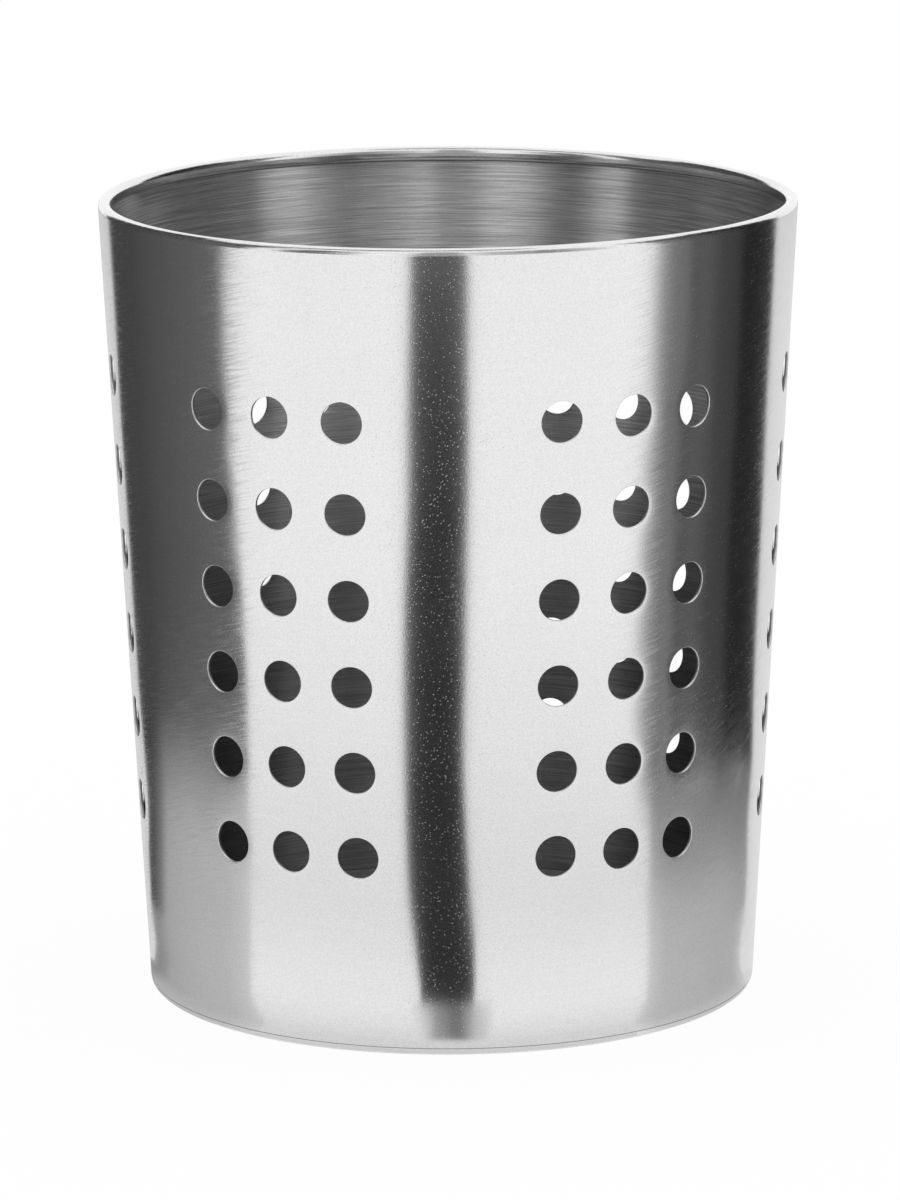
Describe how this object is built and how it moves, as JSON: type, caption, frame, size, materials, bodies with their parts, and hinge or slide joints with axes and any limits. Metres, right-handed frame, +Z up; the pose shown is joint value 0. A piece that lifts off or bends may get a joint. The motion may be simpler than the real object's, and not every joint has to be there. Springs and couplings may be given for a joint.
{
  "type": "cutlery drainer",
  "caption": "Round, slightly tapered steel cup with rows of punched holes, a rolled rim and a perforated base; holds washed cutlery upright while it drains.",
  "frame": {"origin": "centre of the foot, on the surface that the cup stands on", "axes": "+Z up along the axis of the cup; -Y is the front, between two groups of holes"},
  "size_m": [0.118, 0.118, 0.136],
  "materials": {
    "wall_steel": "brushed round the cup, satin sheen",
    "base_steel": "satin"
  },
  "bodies": {
    "root": {"wall": "wall_steel", "base": "base_steel"}
  },
  "joints": []
}
